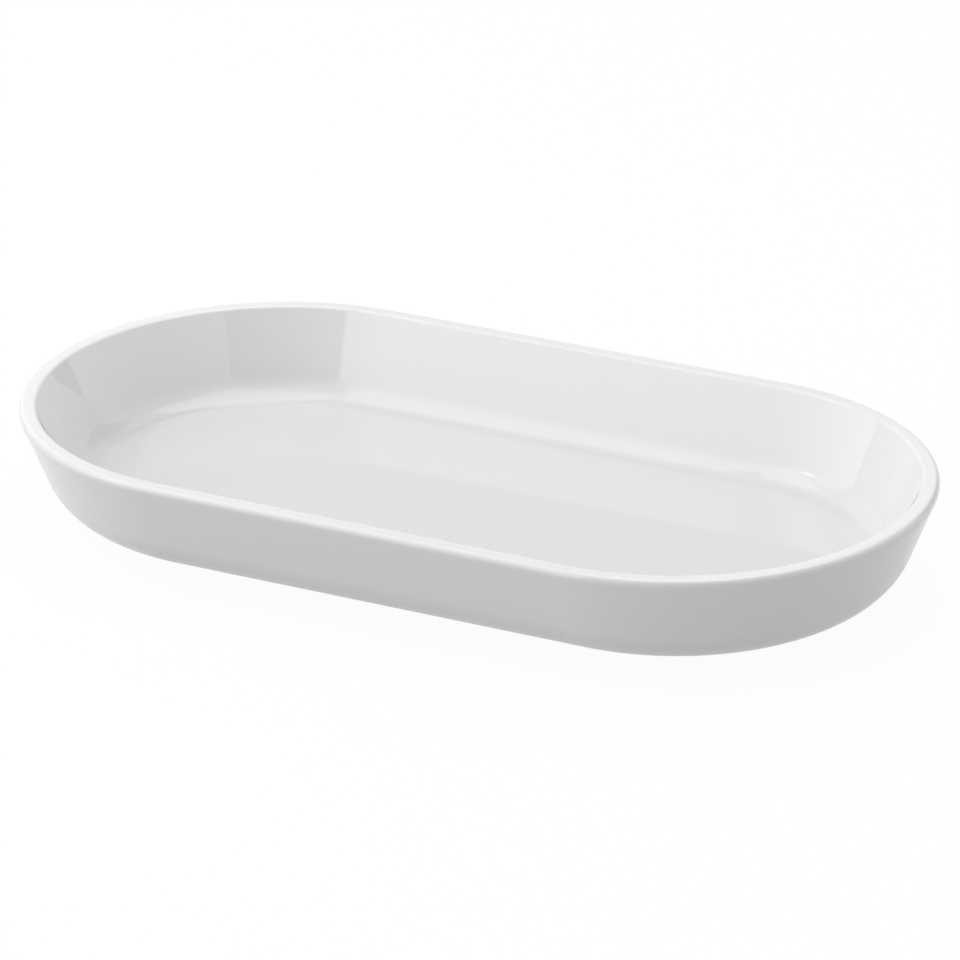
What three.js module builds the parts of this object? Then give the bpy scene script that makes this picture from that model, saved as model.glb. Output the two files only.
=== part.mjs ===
// Oval serving dish in glazed porcelain, with straight long sides, half-round ends and a wall that leans out.
// One fired body carries two fused coats of glaze, and is bare only on the foot ring that it stands on.
// Millimetres, +Z up. The origin is the middle of the foot ring, on the table, and +X runs along the dish.
import * as THREE from "three";

// Finished sizes over the glaze
const LENGTH = 240;
const WIDTH = 128;
const HEIGHT = 29;
const RIM_THICKNESS = 3.8;
const WALL_LEAN = THREE.MathUtils.degToRad(22.3);
const WELL_LEAN = THREE.MathUtils.degToRad(24.5);
const HEEL_RADIUS = 16;
const COVE_RADIUS = 8;
const FLOOR_THICKNESS = 5.7;

// Foot ring, standing in from the end of the heel's curve
const FOOT_HEIGHT = 1.6;
const FOOT_WIDTH = 4;
const FOOT_SETBACK = 1;
const FOOT_EDGE_RADIUS = 0.6;

// Coat of glaze
const GLAZE_THICKNESS = 0.3;

// Flat facets along each round: a half-circle end, a long curve of the section and an edge of the foot
const END_FACETS = 24;
const CURVE_FACETS = 6;
const EDGE_FACETS = 2;

// The section lies in a plane of (distance out from the centre line, height).
// The wall's two faces are tangent to the round of the rim. The inside leans more than the outside, so the wall
// thickens on its way down to the cove, which is tangent to the inside as the heel is to the outside.
const endCentre = (LENGTH - WIDTH) / 2;
const rimRadius = RIM_THICKNESS / 2;
const rimCentre = new THREE.Vector2(WIDTH / 2 - rimRadius, HEIGHT - rimRadius);
const floorTop = FOOT_HEIGHT + FLOOR_THICKNESS;
const heelCentre = insideWall(WALL_LEAN, HEEL_RADIUS - rimRadius, FOOT_HEIGHT + HEEL_RADIUS);
const coveCentre = insideWall(WELL_LEAN, COVE_RADIUS + rimRadius, floorTop + COVE_RADIUS);
const footOuter = heelCentre.x - FOOT_SETBACK;
const footInner = footOuter - FOOT_WIDTH;

// Point at a height, as far as asked towards the inside from a line that leans out to the middle of the rim
function insideWall(lean, distance, height) {
  const middle = rimCentre.x - (rimCentre.y - height) * Math.tan(lean);
  return new THREE.Vector2(middle - distance / Math.cos(lean), height);
}

function arc(centre, radius, from, to, facets) {
  const clockwise = to < from;
  return new THREE.EllipseCurve(centre.x, centre.y, radius, radius, from, to, clockwise).getPoints(facets);
}

// Face of the section from the middle of the floor up the wall, over the rim and down to the foot ring.
// Depth 0 is the glazed face, and a depth of one coat is the body's own face under it.
function wallFace(depth) {
  return [
    new THREE.Vector2(0, floorTop - depth),
    ...arc(coveCentre, COVE_RADIUS + depth, -Math.PI / 2, -WELL_LEAN, CURVE_FACETS),
    ...arc(rimCentre, rimRadius - depth, Math.PI - WELL_LEAN, -WALL_LEAN, CURVE_FACETS),
    ...arc(heelCentre, HEEL_RADIUS - depth, -WALL_LEAN, -Math.PI / 2, CURVE_FACETS),
    new THREE.Vector2(footOuter, FOOT_HEIGHT + depth),
  ];
}

// Bare face of the foot ring, from its outer edge across the land that it stands on to its inner edge
function footFace() {
  const edge = Math.min(FOOT_EDGE_RADIUS, FOOT_HEIGHT, FOOT_WIDTH / 2);
  const outerEdge = new THREE.Vector2(footOuter - edge, edge);
  const innerEdge = new THREE.Vector2(footInner + edge, edge);
  return [
    ...arc(outerEdge, edge, 0, -Math.PI / 2, EDGE_FACETS),
    ...arc(innerEdge, edge, -Math.PI / 2, -Math.PI, EDGE_FACETS),
  ];
}

// Underside inside the foot ring, from the ring in to the centre line
function baseFace(depth) {
  return [
    new THREE.Vector2(footInner, FOOT_HEIGHT + depth),
    new THREE.Vector2(0, FOOT_HEIGHT + depth),
  ];
}

// Places round the dish: a half turn about each end centre, with a straight side between the two
const stations = [1, -1].flatMap((end) =>
  Array.from({ length: END_FACETS + 1 }, (_, step) => {
    const angle = (step / END_FACETS - end / 2) * Math.PI;
    return { end, x: end * endCentre, along: Math.cos(angle), across: Math.sin(angle) };
  })
);

// Solid made by carrying a section round the dish. The section starts and ends on the centre line, where the
// stations of one end all meet, so the triangles that would have no width there are left out.
function carriedRound(section) {
  const place = (station, point) => [
    station.x + point.x * station.along,
    point.x * station.across,
    point.y,
  ];
  const corners = [];
  stations.forEach((here, index) => {
    const next = stations[(index + 1) % stations.length];
    const turning = here.end === next.end;
    for (let i = 0; i + 1 < section.length; i++) {
      const [from, to] = [section[i], section[i + 1]];
      if (!(turning && to.x === 0)) {
        corners.push(place(here, from), place(here, to), place(next, to));
      }
      if (!(turning && from.x === 0)) {
        corners.push(place(here, from), place(next, to), place(next, from));
      }
    }
  });
  const solid = new THREE.BufferGeometry();
  solid.setAttribute("position", new THREE.Float32BufferAttribute(corners.flat(), 3));
  solid.computeVertexNormals();
  return solid;
}

function piece(name, section, material) {
  const mesh = new THREE.Mesh(carriedRound(section), material);
  mesh.name = name;
  return mesh;
}

const barePorcelain = new THREE.MeshStandardMaterial({ color: 0xe8e4dc, roughness: 0.75, metalness: 0 });
const whiteGlaze = new THREE.MeshStandardMaterial({ color: 0xf2f3f3, roughness: 0.08, metalness: 0 });
const bodyWall = wallFace(GLAZE_THICKNESS);
const bodyBase = baseFace(GLAZE_THICKNESS);

const dish = new THREE.Group();
dish.name = "serving_dish";
dish.add(piece("porcelain_body", [...bodyWall, ...footFace(), ...bodyBase], barePorcelain));
dish.add(piece("glaze_coat", [...wallFace(0), ...bodyWall.toReversed()], whiteGlaze));
dish.add(piece("base_glaze", [...bodyBase.toReversed(), ...baseFace(0)], whiteGlaze));

export default dish;
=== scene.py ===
"""Oval serving dish in white glazed porcelain, dressed around its CAD frame. Metres, +Z up, +X along it."""
import math

import bmesh
import bpy
from mathutils import Matrix, Vector


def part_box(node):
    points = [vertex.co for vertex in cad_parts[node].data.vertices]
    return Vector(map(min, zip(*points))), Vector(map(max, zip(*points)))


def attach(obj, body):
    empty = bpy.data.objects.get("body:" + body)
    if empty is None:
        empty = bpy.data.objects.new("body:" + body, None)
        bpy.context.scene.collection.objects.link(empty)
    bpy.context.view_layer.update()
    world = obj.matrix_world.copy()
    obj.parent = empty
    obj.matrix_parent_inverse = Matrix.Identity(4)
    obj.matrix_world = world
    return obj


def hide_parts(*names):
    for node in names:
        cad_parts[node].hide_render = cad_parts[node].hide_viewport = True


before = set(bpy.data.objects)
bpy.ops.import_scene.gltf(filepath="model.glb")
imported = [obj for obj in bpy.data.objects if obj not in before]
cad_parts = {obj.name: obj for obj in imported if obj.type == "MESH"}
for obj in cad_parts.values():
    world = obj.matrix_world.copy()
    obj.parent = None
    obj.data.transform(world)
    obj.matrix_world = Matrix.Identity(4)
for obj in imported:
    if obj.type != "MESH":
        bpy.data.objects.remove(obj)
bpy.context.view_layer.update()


# Porcelain body. One wall of white porcelain, cast in a mould, trimmed at the foot and fired dense.
# Glaze covers all of it but the foot ring, which is wiped bare so that the dish doesn't stick in the kiln.
coat_low, coat_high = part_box("glaze_coat")
base_low, base_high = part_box("base_glaze")
glaze_thickness = base_high.z - base_low.z
half_width = coat_high.y
end_centre = coat_high.x - half_width
rim_top = coat_high.z
foot_height = coat_low.z
foot_inner = base_high.y

rim_width = 0.0046
outer_edge_radius = 0.0015
inner_edge_radius = 0.0012
wall_lean = math.radians(21.67)
well_lean = math.radians(26.5)
heel_radius = 0.016
cove_radius = 0.010
floor_thickness = 0.0057
foot_width = 0.004
foot_edge_radius = 0.0006

foot_outer = foot_inner + foot_width
floor_top = foot_height + floor_thickness
outer_edge = Vector((half_width - outer_edge_radius, rim_top - outer_edge_radius))
inner_edge = Vector((half_width - rim_width + inner_edge_radius, rim_top - inner_edge_radius))


def inside_wall(edge, lean, distance, height):
    """Point of the section at a height, that far inside a line that leans out to an edge of the rim."""
    middle = edge.x - (edge.y - height) * math.tan(lean)
    return Vector((middle - distance / math.cos(lean), height))


heel_centre = inside_wall(outer_edge, wall_lean, heel_radius - outer_edge_radius, foot_height + heel_radius)
cove_centre = inside_wall(inner_edge, well_lean, cove_radius + inner_edge_radius, floor_top + cove_radius)


def on_section(out, up):
    """Place in the dish of a point of the section, drawn across the near long side at its right end."""
    return Vector((end_centre, -out, up))


def start_section(mesh, out, up):
    return mesh.verts.new(on_section(out, up))


flat_margin = 0.0002


def line_to(mesh, last, out, up):
    """Draws the section on in a straight line, with a short step at each end to keep its shading flat."""
    start, stop = Vector(last.co), on_section(out, up)
    margin = (stop - start).normalized() * flat_margin
    for place in (start + margin, stop - margin, stop):
        last = bmesh.ops.extrude_vert_indiv(mesh, verts=[last])["verts"][0]
        last.co = place
    return last


def arc_from(mesh, last, centre, turn, steps):
    """Draws the section on round a centre, anticlockwise for a positive turn, and returns its new end."""
    drawn = bmesh.ops.spin(
        mesh, geom=[last], cent=on_section(*centre), axis=(-1, 0, 0), angle=turn, steps=steps
    )
    return next(part for part in drawn["geom_last"] if isinstance(part, bmesh.types.BMVert))


curve_steps = 20
rim_steps = 14
edge_steps = 6


def draw_wall(mesh, last, depth):
    """Draws the floor, cove, wall, rim and heel, that deep under the glazed face, as far as the foot ring."""
    last = line_to(mesh, last, cove_centre.x, floor_top - depth)
    last = arc_from(mesh, last, cove_centre, math.pi / 2 - well_lean, curve_steps)
    inner = inner_edge + Vector((-math.cos(well_lean), math.sin(well_lean))) * (inner_edge_radius - depth)
    last = line_to(mesh, last, *inner)
    last = arc_from(mesh, last, inner_edge, well_lean - math.pi / 2, rim_steps)
    last = line_to(mesh, last, outer_edge.x, rim_top - depth)
    last = arc_from(mesh, last, outer_edge, -wall_lean - math.pi / 2, rim_steps)
    outer = heel_centre + Vector((math.cos(wall_lean), -math.sin(wall_lean))) * (heel_radius - depth)
    last = line_to(mesh, last, *outer)
    last = arc_from(mesh, last, heel_centre, wall_lean - math.pi / 2, curve_steps)
    return line_to(mesh, last, foot_outer, foot_height + depth)


end_steps = 144
merge_distance = 1e-6


def carried_round(mesh, name):
    """Carries the section round the dish, half a turn about each end and then along a long side."""
    moving = mesh.verts[:] + mesh.edges[:]
    for end in (1, -1):
        turned = bmesh.ops.spin(
            mesh, geom=moving, cent=(end * end_centre, 0, 0), axis=(0, 0, 1), angle=math.pi, steps=end_steps
        )
        edges = [part for part in turned["geom_last"] if isinstance(part, bmesh.types.BMEdge)]
        for step in (flat_margin, 2 * end_centre - 2 * flat_margin, flat_margin):
            side = bmesh.ops.extrude_edge_only(mesh, edges=edges)["geom"]
            verts = [part for part in side if isinstance(part, bmesh.types.BMVert)]
            bmesh.ops.translate(mesh, verts=verts, vec=(-end * step, 0, 0))
            moved = set(verts)
            edges = [
                part for part in side
                if isinstance(part, bmesh.types.BMEdge) and moved.issuperset(part.verts)
            ]
        moving = verts + edges
    bmesh.ops.remove_doubles(mesh, verts=mesh.verts, dist=merge_distance)
    bmesh.ops.recalc_face_normals(mesh, faces=mesh.faces)
    for face in mesh.faces:
        face.smooth = True
    data = bpy.data.meshes.new(name)
    mesh.to_mesh(data)
    mesh.free()
    piece = bpy.data.objects.new(name, data)
    bpy.context.scene.collection.objects.link(piece)
    return piece


body_mesh = bmesh.new()
end = start_section(body_mesh, 0, floor_top - glaze_thickness)
end = draw_wall(body_mesh, end, glaze_thickness)
end = line_to(body_mesh, end, foot_outer, foot_edge_radius)
end = arc_from(body_mesh, end, (foot_outer - foot_edge_radius, foot_edge_radius), -math.pi / 2, edge_steps)
end = line_to(body_mesh, end, foot_inner + foot_edge_radius, 0)
end = arc_from(body_mesh, end, (foot_inner + foot_edge_radius, foot_edge_radius), -math.pi / 2, edge_steps)
end = line_to(body_mesh, end, foot_inner, base_high.z)
line_to(body_mesh, end, 0, base_high.z)
porcelain_body = carried_round(body_mesh, "porcelain_body_smooth")

bare_porcelain = bpy.data.materials.new("bare_porcelain")
bare_porcelain.use_nodes = True
bare_tree = bare_porcelain.node_tree
bare_shader = bare_tree.nodes["Principled BSDF"]
bare_shader.inputs["Roughness"].default_value = 0.62
bare_shader.inputs["IOR"].default_value = 1.5
bare_place = bare_tree.nodes.new("ShaderNodeTexCoord")
bare_grain = bare_tree.nodes.new("ShaderNodeTexNoise")
bare_grain.inputs["Scale"].default_value = 900
bare_grain.inputs["Detail"].default_value = 4
bare_tone = bare_tree.nodes.new("ShaderNodeValToRGB")
bare_tone.color_ramp.elements[0].position = 0.3
bare_tone.color_ramp.elements[0].color = (0.72, 0.695, 0.65, 1)
bare_tone.color_ramp.elements[1].position = 0.6
bare_tone.color_ramp.elements[1].color = (0.77, 0.75, 0.71, 1)
bare_relief = bare_tree.nodes.new("ShaderNodeBump")
bare_relief.inputs["Distance"].default_value = 1.5e-5
bare_tree.links.new(bare_place.outputs["Object"], bare_grain.inputs["Vector"])
bare_tree.links.new(bare_grain.outputs["Fac"], bare_tone.inputs["Fac"])
bare_tree.links.new(bare_tone.outputs["Color"], bare_shader.inputs["Base Color"])
bare_tree.links.new(bare_grain.outputs["Fac"], bare_relief.inputs["Height"])
bare_tree.links.new(bare_relief.outputs["Normal"], bare_shader.inputs["Normal"])
porcelain_body.data.materials.append(bare_porcelain)
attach(porcelain_body, "root")
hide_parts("porcelain_body")


# Glaze coat. Clear glass over white porcelain, poured in and over the rim and fired to a gloss.
# It covers the inside, the rim and the outside, and ends in a thin edge against the bare foot ring.
# The flat of the rim is painted whiter, most of all round the two ends, as painted light where the lamps
# catch it.
# Low down, over the floor of the well, the lower outside and the underside, it is painted a little darker and
# cooler, as painted shade.
coat_mesh = bmesh.new()
end = start_section(coat_mesh, 0, floor_top)
outer_end = draw_wall(coat_mesh, end, 0)
inner_start = start_section(coat_mesh, 0, floor_top - glaze_thickness)
inner_end = draw_wall(coat_mesh, inner_start, glaze_thickness)
coat_mesh.edges.new((outer_end, inner_end))
glaze_coat = carried_round(coat_mesh, "glaze_coat_smooth")

white_glaze = bpy.data.materials.new("white_glaze")
white_glaze.use_nodes = True
glaze_tree = white_glaze.node_tree
glaze_shader = glaze_tree.nodes["Principled BSDF"]
glaze_shader.inputs["Roughness"].default_value = 0.015
glaze_shader.inputs["IOR"].default_value = 1.5
glaze_place = glaze_tree.nodes.new("ShaderNodeTexCoord")
glaze_height = glaze_tree.nodes.new("ShaderNodeSeparateXYZ")
ripple_and_shade_noise = glaze_tree.nodes.new("ShaderNodeTexNoise")
ripple_and_shade_noise.inputs["Scale"].default_value = 40
ripple_and_shade_noise.inputs["Detail"].default_value = 2
# Painted shade: the colour darkens towards the bottom, from the cove down over the floor of the well, the
# lower outside and the underside, along a height that noise makes uneven.
shade_edge_unevenness = 0.0012
shade_height = glaze_tree.nodes.new("ShaderNodeMath")
shade_height.operation = "MULTIPLY_ADD"
shade_height.inputs[1].default_value = shade_edge_unevenness
shade_level = glaze_tree.nodes.new("ShaderNodeMapRange")
shade_level.inputs["From Max"].default_value = rim_top + shade_edge_unevenness / 2
low_shade_tone = glaze_tree.nodes.new("ShaderNodeValToRGB")
low_shade_tone.color_ramp.interpolation = "EASE"
low_shade_tones = low_shade_tone.color_ramp.elements
low_shade_tones[0].position = floor_top / rim_top
low_shade_tones[0].color = (0.775, 0.776, 0.78, 1)
low_shade_tones[1].position = (floor_top + cove_radius / 2) / rim_top
low_shade_tones[1].color = (0.806, 0.806, 0.807, 1)
# Painted highlight: near the flat of the rim the colour is mixed towards a lighter white, half as much along
# the sides as round the two ends.
rim_height = glaze_tree.nodes.new("ShaderNodeMapRange")
rim_height.interpolation_type = "SMOOTHSTEP"
rim_height.inputs["From Min"].default_value = rim_top - inner_edge_radius / 3
rim_height.inputs["From Max"].default_value = rim_top - inner_edge_radius / 30
end_reach = glaze_tree.nodes.new("ShaderNodeMath")
end_reach.operation = "ABSOLUTE"
end_round = glaze_tree.nodes.new("ShaderNodeMapRange")
end_round.interpolation_type = "SMOOTHSTEP"
end_round.inputs["From Min"].default_value = end_centre
end_round.inputs["From Max"].default_value = end_centre + half_width
end_round.inputs["To Min"].default_value = 0.5
rim_light_share = glaze_tree.nodes.new("ShaderNodeMath")
rim_light_share.operation = "MULTIPLY"
rim_painted_light = glaze_tree.nodes.new("ShaderNodeMix")
rim_painted_light.data_type = "RGBA"
rim_painted_light.inputs["B"].default_value = (0.92, 0.92, 0.918, 1)
glaze_ripple = glaze_tree.nodes.new("ShaderNodeBump")
glaze_ripple.inputs["Distance"].default_value = 1e-5
glaze_tree.links.new(glaze_place.outputs["Object"], ripple_and_shade_noise.inputs["Vector"])
glaze_tree.links.new(glaze_place.outputs["Object"], glaze_height.inputs["Vector"])
glaze_tree.links.new(ripple_and_shade_noise.outputs["Fac"], shade_height.inputs[0])
glaze_tree.links.new(glaze_height.outputs["Z"], shade_height.inputs[2])
glaze_tree.links.new(shade_height.outputs["Value"], shade_level.inputs["Value"])
glaze_tree.links.new(shade_level.outputs["Result"], low_shade_tone.inputs["Fac"])
glaze_tree.links.new(glaze_height.outputs["X"], end_reach.inputs[0])
glaze_tree.links.new(end_reach.outputs["Value"], end_round.inputs["Value"])
glaze_tree.links.new(glaze_height.outputs["Z"], rim_height.inputs["Value"])
glaze_tree.links.new(rim_height.outputs["Result"], rim_light_share.inputs[0])
glaze_tree.links.new(end_round.outputs["Result"], rim_light_share.inputs[1])
glaze_tree.links.new(rim_light_share.outputs["Value"], rim_painted_light.inputs["Factor"])
glaze_tree.links.new(low_shade_tone.outputs["Color"], rim_painted_light.inputs["A"])
glaze_tree.links.new(rim_painted_light.outputs["Result"], glaze_shader.inputs["Base Color"])
glaze_tree.links.new(ripple_and_shade_noise.outputs["Fac"], glaze_ripple.inputs["Height"])
glaze_tree.links.new(glaze_ripple.outputs["Normal"], glaze_shader.inputs["Normal"])
glaze_coat.data.materials.append(white_glaze)
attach(glaze_coat, "root")
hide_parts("glaze_coat")


# Base glaze. The same clear glaze, poured as a separate field on the underside and fused to the body.
# It fills the space within the foot ring and stops against the ring's bare inner face.
base_mesh = bmesh.new()
end = start_section(base_mesh, 0, base_high.z)
end = line_to(base_mesh, end, foot_inner, base_high.z)
end = line_to(base_mesh, end, foot_inner, base_low.z)
line_to(base_mesh, end, 0, base_low.z)
base_glaze = carried_round(base_mesh, "base_glaze_smooth")
base_glaze.data.materials.append(white_glaze)
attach(base_glaze, "root")
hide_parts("base_glaze")


# Floor. A plain matte table that the dish stands on. It glows evenly, so that it looks white to the camera
# and lights the underside of the wall softly, and it throws back little of the lamps' own light.
def flat_card(name, width, height):
    """Flat card that lies at the origin and faces up."""
    mesh = bmesh.new()
    bmesh.ops.create_grid(mesh, x_segments=1, y_segments=1, size=0.5)
    bmesh.ops.scale(mesh, verts=mesh.verts, vec=(width, height, 1))
    data = bpy.data.meshes.new(name)
    mesh.to_mesh(data)
    mesh.free()
    card = bpy.data.objects.new(name, data)
    bpy.context.scene.collection.objects.link(card)
    return card


def seen_directly(tree):
    """1 for rays of the camera, of reflections and of glass, and 0 for light that bounces between things."""
    path = tree.nodes.new("ShaderNodeLightPath")
    either = tree.nodes.new("ShaderNodeMath")
    either.operation = "MAXIMUM"
    tree.links.new(path.outputs["Is Camera Ray"], either.inputs[0])
    tree.links.new(path.outputs["Is Glossy Ray"], either.inputs[1])
    any_of_three = tree.nodes.new("ShaderNodeMath")
    any_of_three.operation = "MAXIMUM"
    tree.links.new(either.outputs[0], any_of_three.inputs[0])
    tree.links.new(path.outputs["Is Transmission Ray"], any_of_three.inputs[1])
    return any_of_three.outputs[0]


floor_size = 12
floor = flat_card("floor", floor_size, floor_size)
white_table = bpy.data.materials.new("white_table")
white_table.use_nodes = True
table_tree = white_table.node_tree
table_shader = table_tree.nodes["Principled BSDF"]
table_shader.inputs["Roughness"].default_value = 1
table_shader.inputs["Specular IOR Level"].default_value = 0
table_shader.inputs["Emission Color"].default_value = (1, 1, 1, 1)
table_shader.inputs["Emission Strength"].default_value = 0.42
table_tone = table_tree.nodes.new("ShaderNodeMix")
table_tone.data_type = "RGBA"
table_tone.inputs["A"].default_value = (0.1, 0.1, 0.1, 1)
table_tone.inputs["B"].default_value = (0.6, 0.6, 0.6, 1)
table_tree.links.new(seen_directly(table_tree), table_tone.inputs["Factor"])
table_tree.links.new(table_tone.outputs["Result"], table_shader.inputs["Base Color"])
table_glow = table_tree.nodes.new("ShaderNodeEmission")
table_share = table_tree.nodes.new("ShaderNodeMath")
table_share.operation = "MULTIPLY"
table_share.inputs[1].default_value = 0.9
table_path = table_tree.nodes.new("ShaderNodeLightPath")
table_mix = table_tree.nodes.new("ShaderNodeMixShader")
table_tree.links.new(table_path.outputs["Is Camera Ray"], table_share.inputs[0])
table_tree.links.new(table_share.outputs["Value"], table_mix.inputs["Fac"])
table_tree.links.new(table_shader.outputs["BSDF"], table_mix.inputs[1])
table_tree.links.new(table_glow.outputs["Emission"], table_mix.inputs[2])
table_tree.links.new(table_mix.outputs["Shader"], table_tree.nodes["Material Output"].inputs["Surface"])
floor.data.materials.append(white_table)


# Studio light. A white room, dimmer overhead, with an upright key panel to the left of the camera, the hot
# spot of its bulb, and two softboxes under the ceiling. Dark and pale cards stand round the dish for the open
# and the lit parts of the room. They show only in the glaze and give it its panels.
def towards(azimuth, elevation):
    """Direction out from the dish, anticlockwise from +X and up from the floor, in degrees."""
    turn, rise = math.radians(azimuth), math.radians(elevation)
    return Vector((math.cos(turn) * math.cos(rise), math.sin(turn) * math.cos(rise), math.sin(rise)))


dimmest = towards(290, 70)
room_strength, room_falloff = 1.0, 0.73
world = bpy.data.worlds.new("studio")
bpy.context.scene.world = world
world.use_nodes = True
world_tree = world.node_tree
backdrop = world_tree.nodes["Background"]
backdrop.inputs["Color"].default_value = (1, 1, 1, 1)
backdrop.inputs["Strength"].default_value = 1
room = world_tree.nodes.new("ShaderNodeBackground")
room.inputs["Color"].default_value = (0.975, 1, 1.025, 1)
room_direction = world_tree.nodes.new("ShaderNodeTexCoord")
room_front = world_tree.nodes.new("ShaderNodeVectorMath")
room_front.operation = "DOT_PRODUCT"
room_front.inputs[1].default_value = dimmest
room_shade = world_tree.nodes.new("ShaderNodeMapRange")
room_shade.inputs["To Min"].default_value = room_strength
room_shade.inputs["To Max"].default_value = room_strength - room_falloff
world_tree.links.new(room_direction.outputs["Generated"], room_front.inputs[0])
world_tree.links.new(room_front.outputs["Value"], room_shade.inputs["Value"])
world_tree.links.new(room_shade.outputs["Result"], room.inputs["Strength"])
pick = world_tree.nodes.new("ShaderNodeMixShader")
world_tree.links.new(seen_directly(world_tree), pick.inputs["Fac"])
world_tree.links.new(room.outputs["Background"], pick.inputs[1])
world_tree.links.new(backdrop.outputs["Background"], pick.inputs[2])
world_tree.links.new(pick.outputs["Shader"], world_tree.nodes["World Output"].inputs["Surface"])


def softbox(name, centre, facing, width, height, radiance):
    """Rectangular lamp of even radiance, which the camera doesn't see."""
    light = bpy.data.lights.new(name, "AREA")
    light.shape = "RECTANGLE"
    light.color = (1, 0.975, 0.96)
    light.size = width
    light.size_y = height
    light.energy = radiance * math.pi * width * height
    lamp = bpy.data.objects.new(name, light)
    lamp.matrix_world = Matrix.Translation(centre) @ facing.to_4x4()
    lamp.visible_camera = False
    bpy.context.scene.collection.objects.link(lamp)


def standing(azimuth):
    """Turn of an upright panel that stands out in that direction and faces the dish."""
    return Matrix.Rotation(math.radians(azimuth + 90), 3, "Z") @ Matrix.Rotation(math.radians(90), 3, "X")


def across(first_azimuth, last_azimuth, distance):
    """Width of a panel at that distance that reaches from one direction to the other."""
    return 2 * distance * math.tan(math.radians(last_azimuth - first_azimuth) / 2)


key_first, key_last, key_distance = 187.5, 258, 1.2
key_bottom, key_top = 0.19, 1.2
key_azimuth = (key_first + key_last) / 2
key_middle = towards(key_azimuth, 0) * key_distance + Vector((0, 0, (key_bottom + key_top) / 2))
softbox(
    "key_softbox", key_middle, standing(key_azimuth),
    width=across(key_first, key_last, key_distance), height=key_top - key_bottom, radiance=1.2,
)
hot_spot = towards(212, 34.5)
hot_spot_size = 0.14
softbox(
    "key_bulb", hot_spot * key_distance, hot_spot.to_track_quat("Z", "Y").to_matrix(),
    width=hot_spot_size, height=hot_spot_size, radiance=4,
)
ceiling = 1.2
facing_down = Matrix.Identity(3)
softbox(
    "left_softbox", Vector((-0.665, -0.34, 1)) * ceiling, facing_down,
    width=0.57 * ceiling, height=0.92 * ceiling, radiance=1.75,
)
softbox(
    "top_softbox", Vector((0.055, 0.2, 1)) * ceiling, facing_down,
    width=0.81 * ceiling, height=0.8 * ceiling, radiance=1.65,
)
card_distance = 1.0


def studio_card(name, first_azimuth, last_azimuth, low, high, glow):
    """Upright card between two directions and two elevations, in degrees, that shows only in the glaze."""
    middle = (first_azimuth + last_azimuth) / 2
    lower = card_distance * math.tan(math.radians(low))
    upper = card_distance * math.tan(math.radians(high))
    card = flat_card(name, across(first_azimuth, last_azimuth, card_distance), upper - lower)
    place = towards(middle, 0) * card_distance + Vector((0, 0, (lower + upper) / 2))
    card.matrix_world = Matrix.Translation(place) @ standing(middle).to_4x4()
    card.visible_camera = False
    card.visible_diffuse = False
    card.visible_shadow = False
    material = bpy.data.materials.new(name)
    material.use_nodes = True
    shader = material.node_tree.nodes["Principled BSDF"]
    shader.inputs["Base Color"].default_value = (0, 0, 0, 1)
    shader.inputs["Specular IOR Level"].default_value = 0
    shader.inputs["Emission Color"].default_value = (1, 1, 1, 1)
    shader.inputs["Emission Strength"].default_value = glow
    card.data.materials.append(material)


studio_card("front_card", 258, 323, 0, 57, 0.2)
studio_card("side_card", 59.5, 84, 4, 45, 0.01)
studio_card("side_edge_card", 84, 90, 4, 45, 0.4)
studio_card("back_card", 90, 140, 0, 36, 0.62)
studio_card("upper_side_card", 20, 90, 45, 60, 0.95)
studio_card("upper_back_card", 90, 150, 36, 60, 0.34)


# Camera. A long lens, so that the dish shows little perspective, from above its near long side.
# It is rolled a little, as the photo is, and its picture keeps plain tones with no film curve.
view_azimuth = math.radians(27.627)
view_elevation = math.radians(23.616)
view_roll = math.radians(-0.78)
view_distance = 1.5432
view_target = Vector((0.003891, -0.003586, 0.0186))
back = Vector((
    math.sin(view_azimuth) * math.cos(view_elevation),
    -math.cos(view_azimuth) * math.cos(view_elevation),
    math.sin(view_elevation),
))
camera = bpy.data.objects.new("camera", bpy.data.cameras.new("camera"))
camera.data.sensor_width = 36
camera.data.lens = 234.29
camera.data.clip_start = 0.1
camera.data.clip_end = 50
turn = (-back).to_track_quat("-Z", "Y").to_matrix() @ Matrix.Rotation(view_roll, 3, "Z")
camera.matrix_world = Matrix.Translation(view_target + back * view_distance) @ turn.to_4x4()
bpy.context.scene.collection.objects.link(camera)
bpy.context.scene.camera = camera
bpy.context.scene.view_settings.view_transform = "Standard"
